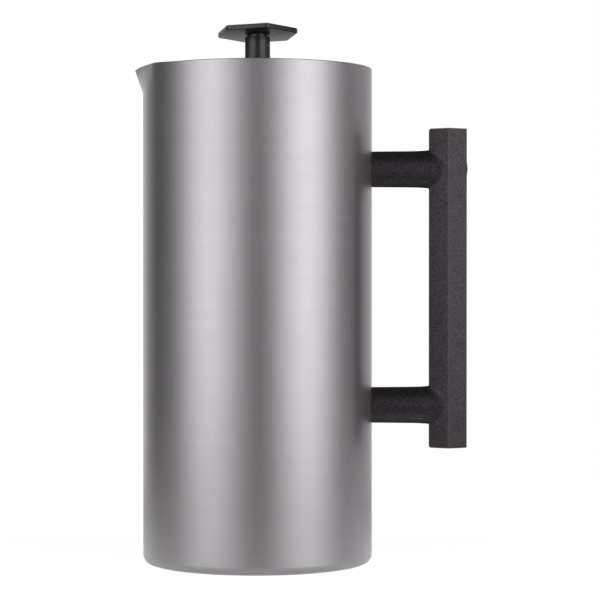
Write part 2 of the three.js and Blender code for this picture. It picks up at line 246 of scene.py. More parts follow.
def revolve(name, profile, turns=None, bend=None):
    """A solid of revolution about Z from an outline of (radius, height) pairs in metres.

    It is closed: from last to first point, or along the axis where both lie on it."""
    if turns is None:
        turns = even_turns(SMALL_SIDES)
    profile = np.array(profile)
    points = np.zeros((len(profile), len(turns), 3))
    points[:, :, 0] = profile[:, :1] * np.cos(turns)
    points[:, :, 1] = profile[:, :1] * np.sin(turns)
    points[:, :, 2] = profile[:, 1:]
    if bend:
        bend(points)
    on_axis = profile[0][0] < 1e-9 and profile[-1][0] < 1e-9
    return from_rings(name, points, closed=not on_axis)


def extruded(name, outline, bottom, top):
    """A flat outline of (x, y) points raised from bottom to top."""
    bm = bmesh.new()
    lower = [bm.verts.new((x, y, bottom)) for x, y in outline]
    face = bm.faces.new(lower)
    raised = bmesh.ops.extrude_face_region(bm, geom=[face])
    for element in raised["geom"]:
        if isinstance(element, bmesh.types.BMVert):
            element.co.z = top
    return from_bmesh(name, bm)


def hexagon(radius, first_corner):
    """A hexagon's corners, the first one at an angle in degrees."""
    turns = [radians(first_corner + 60 * side) for side in range(6)]
    return [(radius * cos(turn), radius * sin(turn)) for turn in turns]


def bevelled(obj, width, segments, chosen):
    """Rounds the edges of obj for which chosen(edge) is true."""
    bm = bmesh.new()
    bm.from_mesh(obj.data)
    edges = [edge for edge in bm.edges if chosen(edge)]
    bmesh.ops.bevel(bm, geom=edges, offset=width, segments=segments, profile=0.5,
                    affect="EDGES", clamp_overlap=True)
    bm.to_mesh(obj.data)
    bm.free()


def upright(edge):
    """Chooses the edges that run nearly along Z."""
    a, b = (vert.co for vert in edge.verts)
    return abs(a.z - b.z) > 0.9 * (a - b).length


def at_height(*heights):
    """Chooses the flat edges at these heights."""
    def chosen(edge):
        return all(any(abs(vert.co.z - height) < 1e-6 for height in heights)
                   for vert in edge.verts) and not upright(edge)
    return chosen


def boolean(obj, tool, operation):
    """Joins, cuts or intersects obj with a tool object, once it is baked."""
    modifier = obj.modifiers.new("shape", "BOOLEAN")
    modifier.object = tool
    modifier.operation = operation
    modifier.solver = "MANIFOLD"


def baked(obj, *scrap):
    """Turns the object's modifiers into plain mesh and removes what they used."""
    name = obj.name
    depsgraph = bpy.context.evaluated_depsgraph_get()
    mesh = bpy.data.meshes.new_from_object(obj.evaluated_get(depsgraph))
    for old in (obj, *scrap):
        bpy.data.objects.remove(old)
    return link(name, mesh)


def cut(obj, *tools):
    """Takes the tools out of obj, which uses them up."""
    for tool in tools:
        boolean(obj, tool, "DIFFERENCE")
    return baked(obj, *tools)


def dress(obj, finish):
    """Gives a piece its one material."""
    obj.data.materials.clear()
    obj.data.materials.append(finish)


def add(obj, body, finish, node):
    """Dresses a piece, says what it rides on, and hides the CAD node that it stands for."""
    dress(obj, finish)
    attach(obj, body)
    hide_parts(node)


# ---------------------------------------------------------------- material helpers

class Nodes:
    """Short names for the nodes of one material or world."""

    def __init__(self, owner):
        owner.use_nodes = True
        self.tree = owner.node_tree
        self.tree.nodes.clear()

    def make(self, kind, **settings):
        node = self.tree.nodes.new(kind)
        for name, value in settings.items():
            setattr(node, name, value)
        return node

    def plug(self, value, socket):
        if isinstance(value, bpy.types.NodeSocket):
            self.tree.links.new(value, socket)
        else:
            socket.default_value = value

    def math(self, operation, *values):
        node = self.make("ShaderNodeMath", operation=operation)
        for index, value in enumerate(values):
            self.plug(value, node.inputs[index])
        return node.outputs[0]

    def place(self, scale):
        """Object coordinates times a scale for each axis, so a feature's size is in metres."""
        coordinates = self.make("ShaderNodeTexCoord")
        mapping = self.make("ShaderNodeMapping")
        mapping.inputs["Scale"].default_value = scale
        self.plug(coordinates.outputs["Object"], mapping.inputs["Vector"])
        return mapping.outputs[0]

    def noise(self, where, detail, roughness=0.5):
        node = self.make("ShaderNodeTexNoise")
        self.plug(where, node.inputs["Vector"])
        node.inputs["Scale"].default_value = 1.0
        node.inputs["Detail"].default_value = detail
        node.inputs["Roughness"].default_value = roughness
        return node.outputs["Fac"]

    def axes(self, kind="Object"):
        """The three coordinates of one kind, apart."""
        node = self.make("ShaderNodeSeparateXYZ")
        self.plug(self.make("ShaderNodeTexCoord").outputs[kind], node.inputs[0])
        return node.outputs

    def off_axis(self, x, y):
        """The distance from the Z axis."""
        return self.math("SQRT", self.math("ADD", self.math("POWER", x, 2.0),
                                           self.math("POWER", y, 2.0)))

    def fade(self, share, before, after):
        """Goes from one value to another as share goes from 0 to 1."""
        return self.math("ADD", self.math("MULTIPLY", before, self.math("SUBTRACT", 1.0, share)),
                         self.math("MULTIPLY", share, after))

    def span(self, value, low, high, start=0.3, end=0.7, kind="LINEAR"):
        """Maps start..end of a value to low..high."""
        node = self.make("ShaderNodeMapRange", interpolation_type=kind)
        self.plug(value, node.inputs["Value"])
        for name, number in (("From Min", start), ("From Max", end),
                             ("To Min", low), ("To Max", high)):
            node.inputs[name].default_value = number
        return node.outputs[0]

    def blend(self, factor, first, second):
        """Goes from one colour to another, each an (r, g, b) or a socket."""
        node = self.make("ShaderNodeMix", data_type="RGBA")
        self.plug(factor, node.inputs["Factor"])
        for color, socket in ((first, node.inputs[6]), (second, node.inputs[7])):
            self.plug((*color, 1) if isinstance(color, tuple) else color, socket)
        return node.outputs[2]

    def bump(self, height, distance, strength):
        node = self.make("ShaderNodeBump")
        self.plug(height, node.inputs["Height"])
        node.inputs["Distance"].default_value = distance
        node.inputs["Strength"].default_value = strength
        return node.outputs[0]

    def principled(self, color, roughness, normal, tangent=None, **fixed):
        """The material's shader; what is given by name is the same all over the surface."""
        shader = self.make("ShaderNodeBsdfPrincipled")
        self.plug(color, shader.inputs["Base Color"])
        self.plug(roughness, shader.inputs["Roughness"])
        self.plug(normal, shader.inputs["Normal"])
        if tangent is not None:
            self.plug(tangent, shader.inputs["Tangent"])
        for name, value in fixed.items():
            shader.inputs[name.replace("_", " ")].default_value = value
        output = self.make("ShaderNodeOutputMaterial")
        self.plug(shader.outputs[0], output.inputs["Surface"])
        return shader


def shades(color, spread):
    """A darker and a lighter version of a colour."""
    return [tuple(part * (1 + sign * spread) for part in color) for sign in (-1, 1)]


# ---------------------------------------------------------------- materials

STEEL = (0.58, 0.557, 0.58)
INNER_STEEL = (0.6, 0.59, 0.595)
HANDLE_BLACK = (0.005, 0.0045, 0.005)
KNOB_BLACK = (0.0122, 0.0114, 0.0122)
LID_BLACK = (0.03, 0.03, 0.032)
SEAL_GREY = (0.06, 0.06, 0.062)
BLACK_SHEEN = (1, 0.9, 1, 1)
# Pointiness range over which sharp convex edges get a painted highlight.
EDGE_HIGHLIGHT_POINTINESS = (0.503, 0.52)
GLANCING = (0.25, 0.9)
RINGS_PER_METRE = 2600.0


def brushed_round(name, color=STEEL, roughness=(0.35, 0.75)):
    """Satin steel brushed round the Z axis.

    Its fine level lines stretch highlights upwards, and the matt ones among them add a haze."""
    finish = bpy.data.materials.new(name)
    n = Nodes(finish)
    lines = n.noise(n.place((18, 18, 3200)), detail=3, roughness=0.7)
    bands = n.noise(n.place((9, 9, 260)), detail=2)
    clouds = n.noise(n.place((30, 30, 30)), detail=2)
    tone = n.math("ADD", n.math("MULTIPLY", lines, 0.6), n.math("MULTIPLY", bands, 0.4))
    dark, light = shades(color, 0.035)
    up = n.make("ShaderNodeCombineXYZ")
    up.inputs["Z"].default_value = 1
    scratches = n.noise(n.place((6000, 6000, 20000)), detail=1)
    rough = n.math("ADD", n.span(scratches, *roughness, 0.55, 0.61),
                   n.span(clouds, -0.012, 0.012))
    n.principled(n.blend(n.span(tone, 0, 1), dark, light), rough,
                 n.bump(lines, 0.004 * MM, 0.35), up.outputs[0],
                 Metallic=1.0, Anisotropic=0.45)
    return finish


def brushed_flat(name, color=STEEL, roughness=(0.28, 0.36)):
    """Steel turned in fine rings round the Z axis."""
    finish = bpy.data.materials.new(name)
    n = Nodes(finish)
    x, y, z = n.axes()
    ring = n.make("ShaderNodeCombineXYZ")
    n.plug(n.math("MULTIPLY", n.off_axis(x, y), RINGS_PER_METRE), ring.inputs["X"])
    n.plug(n.math("MULTIPLY", z, RINGS_PER_METRE), ring.inputs["Y"])
    lines = n.noise(ring.outputs[0], detail=3, roughness=0.7)
    clouds = n.noise(n.place((40, 40, 40)), detail=2)
    dark, light = shades(color, 0.05)
    n.principled(n.blend(n.span(lines, 0, 1), dark, light),
                 n.math("ADD", n.span(lines, *roughness), n.span(clouds, -0.02, 0.02)),
                 n.bump(lines, 0.004 * MM, 0.4), Metallic=1.0)
    return finish


def bright_metal(name, color, roughness):
    """Smooth metal with faint handling marks."""
    finish = bpy.data.materials.new(name)
    n = Nodes(finish)
    clouds = n.noise(n.place((120, 120, 120)), detail=3)
    scuffs = n.noise(n.place((500, 500, 2200)), detail=2)
    dark, light = shades(color, 0.04)
    n.principled(n.blend(n.span(clouds, 0, 1), dark, light),
                 n.math("ADD", n.span(clouds, *roughness), n.span(scuffs, -0.02, 0.02)),
                 n.bump(scuffs, 0.003 * MM, 0.3), Metallic=1.0)
    return finish


def grained_black(name, color, roughness, grain, depth, speckle, scale=2600):
    """Moulded plastic with an even fine grain, and the nodes that handled() works on."""
    finish = bpy.data.materials.new(name)
    n = Nodes(finish)
    pebbles = n.noise(n.place((scale, scale, scale)), detail=2, roughness=0.6)
    patches = n.noise(n.place((170, 170, 170)), detail=2)
    tone = n.math("ADD", n.math("MULTIPLY", pebbles, 0.7), n.math("MULTIPLY", patches, 0.3))
    dark, light = shades(color, speckle)
    rough = n.math("ADD", n.span(pebbles, *roughness), n.span(patches, -0.02, 0.02))
    shade = n.blend(n.span(tone, 0, 1), dark, light)
    shader = n.principled(shade, rough, n.bump(pebbles, depth, grain),
                          Specular_Tint=BLACK_SHEEN)
    return finish, n, shader, shade, rough, pebbles


def edge_highlight_and_gloss(black, gloss, uneven, rougher, edge_highlight):
    """Paints a lighter highlight along a black's sharp convex edges, and makes it shinier face on
    than at a glancing angle, as a grain does that shades itself."""
    finish, n, shader, shade, rough, pebbles = black
    # Painted highlight: sharp convex edges are blended towards a lighter colour.
    edges = n.span(n.make("ShaderNodeNewGeometry").outputs["Pointiness"], 0, 1, *EDGE_HIGHLIGHT_POINTINESS)
    n.plug(n.blend(edges, shade, (edge_highlight,) * 3), shader.inputs["Base Color"])
    glancing = n.make("ShaderNodeLayerWeight").outputs["Facing"]
    shine = n.math("MULTIPLY", n.span(glancing, *gloss, *GLANCING),
                   n.span(pebbles, 1 - uneven, 1 + uneven))
    n.plug(shine, shader.inputs["Specular IOR Level"])
    n.plug(n.math("ADD", rough, n.span(glancing, 0, rougher, *GLANCING)),
           shader.inputs["Roughness"])
    return finish


def nylon(name, edge_highlight):
    """The handle's coarse-grained moulding."""
    black = grained_black(name, HANDLE_BLACK, (0.42, 0.52), grain=0.9, depth=0.09 * MM,
                          speckle=0.3, scale=1300)
    # The colour given is a painted highlight along the moulding's sharp edges.
    return edge_highlight_and_gloss(black, gloss=(0.82, 0.1), uneven=0.5, rougher=0.5, edge_highlight=edge_highlight)


def knob_satin(name):
    """The knob's fine-grained moulding."""
    black = grained_black(name, KNOB_BLACK, (0.28, 0.36), grain=0.2, depth=0.01 * MM,
                          speckle=0.08)
    # The knob's sharp edges get a faint painted highlight.
    return edge_highlight_and_gloss(black, gloss=(0.75, 0.4), uneven=0.1, rougher=0.08, edge_highlight=0.015)


def woven(name, color, pitch=0.5 * MM):
    """Wire cloth: two crossed sets of rounded wires that pass over and under each other."""
    finish = bpy.data.materials.new(name)
    n = Nodes(finish)
    wires = [n.math("ABSOLUTE", n.math("SINE", n.math("MULTIPLY", part, 2 * pi / pitch)))
             for part in n.axes()[:2]]
    weave = n.math("MAXIMUM", *wires)
    # Painted shade: the openings between the wires are darkened to about a tenth of the metal's
    # colour.
    dark = tuple(part * 0.12 for part in color)
    n.principled(n.blend(n.span(weave, 0, 1, 0.25, 0.8), dark, color), 0.38,
                 n.bump(weave, 0.1 * MM, 0.8), Metallic=1.0)
    return finish


# ---------------------------------------------------------------- pot

def press_spout(points, share, radius, reach):
    """Pushes rows of points out into the spout's V, as a press would.

    Each angle takes the mean of several samples beside it, which rounds the V's folds."""
    x, y, z = points[:, :, 0], points[:, :, 1], points[:, :, 2]
    rise = np.clip((z - POT_HEIGHT) / SPOUT_HEIGHT + 1, 0, 1)
    width = SPOUT_HALF_ANGLE
    tip = radius + reach
    angle = np.arctan2(y, -x)
    push = np.zeros_like(z)
    lift = np.zeros_like(z)
    for offset in np.linspace(-SPOUT_SOFTNESS, SPOUT_SOFTNESS, SPOUT_SAMPLES):
        turn = np.abs(angle + offset)
        inside = np.minimum(turn, width)
        straight = (sin(width) * tip * radius
                    / (radius * np.sin(width - inside) + tip * np.sin(inside)))
        beside = smooth((turn - width) / (SPOUT_LIFT_ANGLE - width))
        push += straight - radius
        lift += SPOUT_LIFT * (1 - beside)
        lift -= SPOUT_DIP * (1 - inside / width) ** SPOUT_DIP_POWER
    out = np.maximum(np.hypot(x, y), 1e-9)
    scale = (out + share(z) * rise * push / SPOUT_SAMPLES) / out
    points[:, :, 0] = x * scale
    points[:, :, 1] = y * scale
    points[:, :, 2] = z + rise * lift / SPOUT_SAMPLES


def pot_turns():
    """Angles round the pot, close together at the spout on -X."""
    near = np.arange(-FINE_HALF_ANGLE, FINE_HALF_ANGLE, FINE_STEP)
    far = np.arange(FINE_HALF_ANGLE, 360 - FINE_HALF_ANGLE, COARSE_STEP)
    return np.radians(np.concatenate([near, far]) + 180)


def spout_rows():
    """Heights of the rows of points that the spout is pressed from."""
    return np.linspace(POT_HEIGHT - SPOUT_HEIGHT, POT_HEIGHT - RIM_ROUNDING, SPOUT_ROWS + 1)


def rim(outside, inside, outer_rounding, inner_rounding):
    """The rounded top edge of a wall, from its outside to its inside."""
    below = POT_HEIGHT - 2 * WALL
    return rounded([(outside, below, 0), (outside, POT_HEIGHT, outer_rounding),
                    (inside, POT_HEIGHT, inner_rounding), (inside, below, 0)])[1:-1]


def shell(finish):
    low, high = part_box("outer_shell")
    radius = high.y
    reach = -low.x - radius
    across = radius - BASE_CORNER
    # The inside face at the rim is met by the vessel's flare.
    rim_inside = radius - RIM_WALL
    spout_bottom = POT_HEIGHT - SPOUT_HEIGHT
    body = np.linspace(BASE_CORNER, spout_bottom, 40)[1:-1]
    profile = [
        *arc(across, BASE_CORNER, BASE_CORNER, -SEAM_ANGLE, 0, 10),
        *[(radius, height) for height in body],
        *[(radius, height) for height in spout_rows()],
        *rim(radius, rim_inside, RIM_ROUNDING, RIM_ROUNDING / 2),
        *[(rim_inside, height) for height in spout_rows()[::-1][3:]],
        (radius - WALL, spout_bottom - WALL),
        *arc(across, BASE_CORNER, BASE_CORNER - WALL, 0, -SEAM_ANGLE, 10),
    ]

    def bend(points):
        press_spout(points, lambda height: 1.0, radius, reach)

    obj = revolve("shell", profile, pot_turns(), bend)
    add(obj, "pot", finish, "outer_shell")


def vessel(finish):
    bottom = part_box("inner_vessel")[0].z
    pot_low, pot_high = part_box("outer_shell")
    radius = pot_high.y
    reach = -pot_low.x - radius
    outer = radius - WALL - AIR_SPACE
    inner = outer - WALL
    flare_bottom = POT_HEIGHT - FLARE_HEIGHT
    flared = radius - RIM_WALL - SEAM
    corner = VESSEL_CORNER + WALL
    body = np.linspace(bottom + corner, flare_bottom, 30)[1:]

    def widened(base, height):
        share = smooth((height - flare_bottom) / FLARE_HEIGHT)
        return float(base + (flared - outer) * share)

    profile = [
        (0, bottom),
        *arc(outer - corner, bottom + corner, corner, -90, 0, 10),
        *[(outer, height) for height in body[1:]],
        *[(widened(outer, height), height) for height in spout_rows()],
        *rim(flared, flared - WALL, RIM_ROUNDING / 2, RIM_ROUNDING),
        *[(widened(inner, height), height) for height in spout_rows()[::-1]],
        *[(inner, height) for height in body[::-1][:-1]],
        *arc(inner - VESSEL_CORNER, bottom + corner, VESSEL_CORNER, 0, -90, 10),
        (0, bottom + WALL),
    ]

    def bend(points):
        press_spout(points, lambda height: np.clip((height - flare_bottom) / FLARE_HEIGHT, 0, 1),
                    radius, reach)

    obj = revolve("vessel", profile, pot_turns(), bend)
    add(obj, "pot", finish, "inner_vessel")


def base_pan(finish):
    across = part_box("outer_shell")[1].y - BASE_CORNER
    inside = across - FOOT_RING
    edge = SEAM_ANGLE + SEAM_GAP_ANGLE
    profile = [
        (0, BASE_RECESS),
        (inside - WALL, BASE_RECESS),
        (inside - WALL / 2, BASE_RECESS * 0.9),
        (inside - WALL / 4, BASE_RECESS * 0.4),
        (inside, 0),
        *arc(across, BASE_CORNER, BASE_CORNER, -90, -edge, 10),
        *arc(across, BASE_CORNER, BASE_CORNER - WALL, -edge, -90, 10),
        (0, WALL),
    ]
    obj = revolve("base_pan", profile, even_turns(POT_SIDES))
    add(obj, "pot", finish, "base_plate")


# ---------------------------------------------------------------- handle

def along_x(obj, height):
    """Lays a piece that stands on Z along +X, at a height."""
    obj.data.transform(Matrix.Translation((0, 0, height)) @ Matrix.Rotation(pi / 2, 4, "Y"))
    return obj


def rod(name, radius, bottom, top, sides):
    """A plain cylinder."""
    return revolve(name, [(0, bottom), (radius, bottom), (radius, top), (0, top)],
                   even_turns(sides))


def middle_height(node):
    low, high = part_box(node)
    return (low.z + high.z) / 2


def post_profile(start, end):
    """A post thickens steadily to the grip's middle, and flares out just before the grip."""
    flare_end = end - GRIP_FLATS / 2
    points = [(0, start)]
    for x in np.linspace(start, end, 40):
        share = (x - start) / (end - start)
        flare = min(max((x - flare_end) / POST_FLARE_LENGTH + 1, 0), 1) ** 3
        points.append((POST_AT_POT + (POST_AT_GRIP - POST_AT_POT) * share + POST_FLARE * flare, x))
    return points + [(0, end)]


def smoothing(obj, repeats):
    """Smooths a mesh, once it is baked."""
    modifier = obj.modifiers.new("smoothing", "SMOOTH")
    modifier.factor = SMOOTHING_STEP
    modifier.iterations = repeats
    return modifier


def soften_posts(grip, centre, heights):
    """Blends the round posts into the grip's slanted faces, but not its ridges or inner flat."""
    places = np.empty(3 * len(grip.data.vertices), dtype=np.float32)
    grip.data.vertices.foreach_get("co", places)
    x, y, z = places.reshape(-1, 3).T
    inner = centre - GRIP_FLATS / 2
    weight = smooth((np.abs(y) - GRIP_FLATS / sqrt(12)) / POST_BLEND)
    weight *= smooth((centre - x) / POST_BLEND - 0.5) * smooth((x - inner) / POST_BLEND + 1)
    along = np.min([np.abs(z - height) for height in heights], axis=0)
    weight *= smooth((POST_AT_GRIP - along) / POST_BLEND + 2)
    group = grip.vertex_groups.new(name="blend")
    for level in range(1, 11):
        chosen = np.flatnonzero(np.round(weight * 10) == level)
        group.add(chosen.tolist(), level / 10, "REPLACE")
    smoothing(grip, POST_SMOOTHING).vertex_group = group.name
    return baked(grip)


def grip_with_posts(centre, bottom, start, heights):
    """The hexagonal grip and its two posts, run together as one moulding."""
    top = bottom + GRIP_LENGTH
    grip = extruded("grip_and_posts", hexagon(GRIP_FLATS / sqrt(3), 30), bottom, top)
    bevelled(grip, GRIP_EDGE / tan(radians(60)), 5, upright)
    bevelled(grip, GRIP_END, 4, at_height(bottom, top))
    grip.data.transform(Matrix.Translation((centre, 0, 0)))
    posts = [along_x(revolve("post", post_profile(start, centre)), height) for height in heights]
    for post in posts:
        boolean(grip, post, "UNION")
    remesh = grip.modifiers.new("remesh", "REMESH")
    remesh.mode = "VOXEL"
    remesh.voxel_size = HANDLE_VOXEL
    smoothing(grip, JOIN_SMOOTHING)
    return soften_posts(baked(grip, *posts), centre, heights)


def fixing_bore(side, start, end):
    """The stepped hole for one post's boss, screw and washer."""
    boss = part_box(f"handle_boss_{side}")[1]
    washer_low, washer_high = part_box(f"handle_washer_{side}")
    boss_bore = boss.y + 2 * FIXING_GAP
    washer_bore = washer_high.y + FIXING_GAP
    return revolve("bore", [
        (0, start),
        (boss_bore, start),
        (boss_bore, boss.x + FIXING_GAP),
        (SCREW_BORE, boss.x + FIXING_GAP),
        (SCREW_BORE, washer_low.x - FIXING_GAP),
        (washer_bore, washer_low.x - FIXING_GAP),
        (washer_bore, end),
        (0, end),
    ])


def handle(finish):
    low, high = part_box("handle")
    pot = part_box("outer_shell")[1]
    start = pot.y - 2 * WALL
    heights = [middle_height(f"handle_screw_{side}") for side in SIDES]
    grip = grip_with_posts(high.x - GRIP_FLATS / 2, low.z, start, heights)
    tools = [rod("pot_cut", pot.y + POT_GAP, 0, pot.z, POT_SIDES)]
    for side, height in zip(SIDES, heights):
        tools.append(along_x(fixing_bore(side, start - WALL, high.x + WALL), height))
    add(cut(grip, *tools), "pot", finish, "handle")


def handle_plugs(finish):
    for side in SIDES:
        node = f"handle_plug_{side}"
        low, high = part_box(node)
        radius = high.y
        dome = PLUG_DOME if side == "upper" else 0
        profile = rounded([(0, low.x, 0), (radius, low.x, 0),
                           (radius, high.x - dome, PLUG_ROUNDING), (0, high.x - dome, 0)])
        profile = [(across, x + dome * (1 - (across / radius) ** 2) * (x > low.x))
                   for across, x in profile]
        plug = along_x(revolve(f"plug_{side}", profile), middle_height(node))
        add(plug, "pot", finish, node)


# ---------------------------------------------------------------- lid

def lid_cap(finish):
    low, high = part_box("lid_cap")
    outer = high.y
    inside = outer - WALL
    shelf = outer - CAP_SHELF
    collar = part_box("lid_bush")[1].y + CAP_COLLAR
    under = high.z - WALL
    profile = rounded([
        (outer, low.z, 0.2 * MM),
        (outer, high.z, 0.7 * MM),
        (shelf, high.z, 0.5 * MM),
        (shelf - CAP_RAMP, high.z - CAP_STEP, 0.5 * MM),
        (collar + CAP_RAMP, high.z - CAP_STEP, 0.5 * MM),
        (collar, high.z, 0.5 * MM),
        (BUSH_BORE, high.z, 0),
        (BUSH_BORE, under, 0),
        (collar, under, 0.3 * MM),
        (collar + CAP_RAMP, under - CAP_STEP / 2, 0.3 * MM),
        (shelf - CAP_RAMP, under - CAP_STEP / 2, 0.3 * MM),
        (shelf, under, 0.3 * MM),
        (inside, under, 0),
        (inside, low.z, 0.2 * MM),
    ])
    obj = revolve("cap", profile, even_turns(POT_SIDES))
    add(obj, "lid", finish, "lid_cap")


def lid_bush(finish):
    low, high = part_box("lid_bush")
    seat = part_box("lid_cap")[1].z + SEAM
    profile = rounded([
        (BUSH_ROD_BORE, low.z, 0.3 * MM),
        (BUSH_BARREL, low.z, 0.3 * MM),
        (BUSH_BARREL, seat, 0),
        (high.y, seat, 0.2 * MM),
        (high.y, high.z, 0.9 * MM),
        (BUSH_ROD_BORE, high.z, 0.4 * MM),
    ])
    add(revolve("bush", profile), "lid", finish, "lid_bush")


def knob_stem(finish):
    low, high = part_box("knob_stem")
    profile = rounded([
        (high.y, low.z, 0.25 * MM),
        (high.y, high.z, 0.25 * MM),
        (STEM_BORE, high.z, 0),
        (STEM_BORE, low.z, 0),
    ])
    add(revolve("stem", profile), "plunger", finish, "knob_stem")


def knob_plate(finish):
    spigot_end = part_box("knob_plate")[0].z
    stem_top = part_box("knob_stem")[1].z
    bottom = stem_top + NECK_HEIGHT
    neck_top = bottom + PLATE_THICKNESS / 2
    plate = extruded("knob", hexagon(PLATE_RADIUS, CORNER_ANGLE), 0, PLATE_THICKNESS)
    bevelled(plate, PLATE_CORNER, 5, upright)
    bevelled(plate, PLATE_EDGE, 4, at_height(0, PLATE_THICKNESS))
    plate.data.transform(Matrix.Translation((0, 0, bottom))
                         @ Matrix.Rotation(KNOB_ANGLE, 4, "Z")
                         @ Matrix.Rotation(-PLATE_LEAN, 4, "Y"))
    neck = revolve("neck", rounded([
        (0, spigot_end, 0), (SPIGOT_RADIUS, spigot_end, 0.2 * MM),
        (SPIGOT_RADIUS, stem_top + SEAM, 0), (NECK_RADIUS, stem_top + SEAM, 0.1 * MM),
        (NECK_RADIUS, neck_top, 0), (0, neck_top, 0)]))
    boolean(plate, neck, "UNION")
    add(baked(plate, neck), "plunger", finish, "knob_plate")


def stadium(half_length, half_width, steps=8):
    """The outline of a slot with round ends, its length along X."""
    flat = half_length - half_width
    return [*arc(flat, 0, half_width, -90, 90, steps), *arc(-flat, 0, half_width, 90, 270, steps)]


def placed_round(tool, radius, turns):
    """Copies of a tool mesh at a radius, turned to each angle, as one object; removes the tool."""
    bm = bmesh.new()
    for turn in turns:
        copy = tool.data.copy()
        copy.transform(Matrix.Rotation(turn, 4, "Z") @ Matrix.Translation((radius, 0, 0)))
        bm.from_mesh(copy)
        bpy.data.meshes.remove(copy)
    name = tool.name
    bpy.data.objects.remove(tool)
    return from_bmesh(name, bm)


def hex_nut(name, node, bore):
    """A nut with its corners turned off at both faces."""
    low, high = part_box(node)
    flat, corner = high.y, high.x
    slope = (corner - flat) * tan(radians(30))
    nut = extruded(name, hexagon(corner, 0), low.z, high.z)
    turned = revolve("turned", [
        (0, low.z), (flat, low.z), (corner, low.z + slope),
        (corner, high.z - slope), (flat, high.z), (0, high.z)])
    boolean(nut, turned, "INTERSECT")
    hole = revolve("hole", [
        (0, low.z - WALL), (bore + WALL, low.z - WALL), (bore + WALL, low.z),
        (bore, low.z + WALL / 2), (bore, high.z - WALL / 2), (bore + WALL, high.z),
        (bore + WALL, high.z + WALL), (0, high.z + WALL)])
    boolean(nut, hole, "DIFFERENCE")
    return baked(nut, turned, hole)


def lid_strainer(finish):
    low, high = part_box("lid_strainer")
    outer = high.y
    groove = outer - SEAL_GROOVE
    inside = groove - WALL
    groove_bottom = low.z + WALL
    groove_top = groove_bottom + GROOVE_HEIGHT
    under = high.z - WALL
    skirt = revolve("strainer", rounded([
        (inside, low.z, 0.3 * MM), (outer, low.z, 0.4 * MM),
        (outer, groove_bottom, 0.3 * MM), (groove, groove_bottom, 0.2 * MM),
        (groove, groove_top, 0.2 * MM), (outer, groove_top, 0.3 * MM),
        (outer, high.z, 0.6 * MM), (BUSH_BORE, high.z, 0),
        (BUSH_BORE, under, 0), (inside, under, 0.8 * MM)]), even_turns(POT_SIDES))
    slot_low, slot_high = groove_top + WALL, under - WALL
    slot = extruded("slots", stadium((slot_high - slot_low) / 2, SLOT_WIDTH / 2),
                    -SLOT_REACH, SLOT_REACH)
    slot.data.transform(Matrix.Translation((0, 0, (slot_low + slot_high) / 2))
                        @ Matrix.Rotation(pi / 2, 4, "Y"))
    turns = [pi + SLOT_PITCH * (index - (SLOT_COUNT - 1) / 2) for index in range(SLOT_COUNT)]
    skirt = cut(skirt, placed_round(slot, (outer + inside) / 2, turns))
    add(skirt, "lid", finish, "lid_strainer")


def lid_nut(finish):
    nut = hex_nut("lid_clamp", "lid_nut", BUSH_BORE)
    add(nut, "lid", finish, "lid_nut")


def lid_seal(finish):
    low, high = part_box("lid_seal")
    outer = high.y
    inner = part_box("lid_strainer")[1].y - SEAL_GROOVE + SEAM
    waist = outer - SEAL_WAIST
    lower_lip = low.z + SEAL_LIP
    upper_lip = high.z - SEAL_LIP
    seal = revolve("seal_ring", rounded([
        (inner, low.z, 0.2 * MM), (outer, low.z, 0.45 * MM), (outer, lower_lip, 0.35 * MM),
        (waist, lower_lip + SEAL_RAMP, 0.3 * MM), (waist, upper_lip - SEAL_RAMP, 0.3 * MM),
        (outer, upper_lip, 0.35 * MM), (outer, high.z, 0.45 * MM), (inner, high.z, 0.2 * MM),
    ]), even_turns(POT_SIDES))
    add(seal, "seal", finish, "lid_seal")


def plunger_rod(finish):
    low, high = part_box("plunger_rod")
    radius = high.y
    core = radius - THREAD_DEPTH
    profile = [(0, low.z), (core, low.z)]
    for crest in np.arange(low.z + THREAD_PITCH, low.z + THREAD_LENGTH, THREAD_PITCH):
        profile += [(radius, float(crest) - THREAD_PITCH / 8),
                    (radius, float(crest) + THREAD_PITCH / 8),
                    (core, float(crest) + THREAD_PITCH / 2)]
    profile += [(radius, low.z + THREAD_LENGTH + THREAD_PITCH), (radius, high.z - ROD_END),
                (radius - ROD_END, high.z), (0, high.z)]
    add(revolve("rod", profile), "plunger", finish, "plunger_rod")


def rod_collar(finish):
    low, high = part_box("rod_collar")
    radius = high.y
    waist = radius - COLLAR_STEP
    flange = low.z + COLLAR_FLANGE
    obj = revolve("collar", rounded([
        (ROD_BORE, low.z, 0.2 * MM), (radius, low.z, 0.3 * MM),
        (radius, flange, 0.2 * MM), (waist, flange + COLLAR_STEP, 0.2 * MM),
        (waist, high.z, 0.8 * MM), (ROD_BORE, high.z, 0.4 * MM)]))
    add(obj, "plunger", finish, "rod_collar")


def spiral_plate(finish):
    low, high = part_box("spiral_plate")
    radius = high.y
    top = low.z + WALL
    dish = revolve("dish", rounded([
        (ROD_BORE, low.z, 0.2 * MM), (radius, low.z, 1.2 * MM), (radius, high.z, 0.4 * MM),
        (radius - WALL, high.z, 0.4 * MM), (radius - WALL, top, 0.5 * MM),
        (ROD_BORE, top, 0.2 * MM)]), even_turns(POT_SIDES))
    for circle, count in ((radius - OUTER_HOLE_INSET, OUTER_HOLES),
                          (INNER_HOLE_CIRCLE, INNER_HOLES)):
        hole = rod("holes", HOLE_RADIUS, low.z - WALL, top + WALL, HOLE_SIDES)
        dish = cut(dish, placed_round(hole, circle, even_turns(count)))
    add(dish, "plunger", finish, "spiral_plate")


